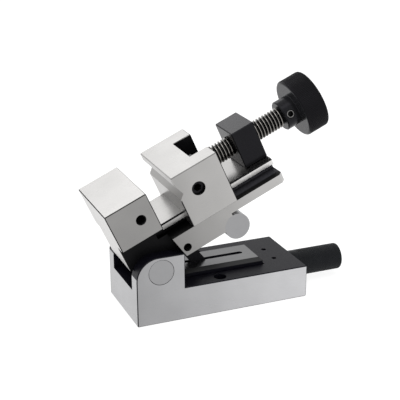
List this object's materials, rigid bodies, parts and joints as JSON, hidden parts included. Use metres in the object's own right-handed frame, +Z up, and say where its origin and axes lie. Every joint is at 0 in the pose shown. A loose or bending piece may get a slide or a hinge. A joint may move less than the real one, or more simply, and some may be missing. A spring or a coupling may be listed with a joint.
{
  "type": "sine vise",
  "caption": "Toolmaker's sine vise: a screw-clamped vise on a hinged sine bar, tilted by a strut and draw bar from a turning handle in its base block.",
  "frame": {"origin": "centre of the base block's ground under face", "axes": "+X along the base towards the turning handle and the knob, +Y to the back, +Z up from the under face"},
  "size_m": [0.1556, 0.05, 0.1289],
  "materials": {
    "black_steel": "blackened, ground outer faces",
    "ground_steel": "ground",
    "pin_steel": "ground",
    "bright_steel": "turned",
    "screw_steel": "black oxide",
    "knob_steel": "black oxide, knurled"
  },
  "bodies": {
    "base": {"base_block": "black_steel", "hinge_pin": "pin_steel", "hinge_pin_set_screws": "screw_steel", "handle_dowels": "pin_steel"},
    "sine_table": {"vise_body": "ground_steel", "sine_roll": "pin_steel", "sine_roll_screws": "screw_steel", "nut_block": "black_steel", "nut_block_screws": "screw_steel", "strut_pin": "pin_steel"},
    "clamp_slide": {"movable_jaw": "ground_steel", "spindle_retaining_screws": "screw_steel", "thrust_washer": "bright_steel"},
    "clamp_screw": {"clamp_spindle": "bright_steel", "knob": "knob_steel", "knob_set_screw": "screw_steel"},
    "strut_link": {"strut": "ground_steel", "draw_bar_pin": "pin_steel"},
    "pull_bar": {"draw_bar": "bright_steel"},
    "turning_handle": {"handle": "knob_steel", "handle_cap": "knob_steel"}
  },
  "joints": [
    {"name": "vise_tilt", "type": "hinge", "parent": "base", "child": "sine_table", "pos_m": [-0.038, 0, 0.031], "axis": [0, -1, 0], "range_deg": [-24, 21]},
    {"name": "jaw_slide", "type": "slide", "parent": "sine_table", "child": "clamp_slide", "axis": [0.9135, 0, 0.4067], "range_m": [-0.01542, 0.0153]},
    {"name": "spindle_spin", "type": "hinge", "parent": "clamp_slide", "child": "clamp_screw", "pos_m": [0.00339, 0, 0.08555], "axis": [0.9135, 0, 0.4067], "continuous": true},
    {"name": "strut_swing", "type": "hinge", "parent": "sine_table", "child": "strut_link", "pos_m": [-0.02235, 0, 0.04355], "axis": [0, -1, 0], "range_deg": [-34, 38.5]},
    {"name": "draw_bar_slide", "type": "slide", "parent": "base", "child": "pull_bar", "axis": [1, 0, 0], "range_m": [-0.0117, 0.0133]},
    {"name": "handle_turn", "type": "hinge", "parent": "base", "child": "turning_handle", "pos_m": [0.06, 0, 0.0105], "axis": [1, 0, 0], "continuous": true}
  ],
  "couplings": [
    {"joint": "strut_swing", "follows": "vise_tilt", "ratio": -1.5935},
    {"joint": "draw_bar_slide", "follows": "vise_tilt", "m_per_rad": -0.031255},
    {"joint": "handle_turn", "follows": "vise_tilt", "ratio": 157.1},
    {"joint": "spindle_spin", "follows": "jaw_slide", "rad_per_m": -3141.6}
  ]
}
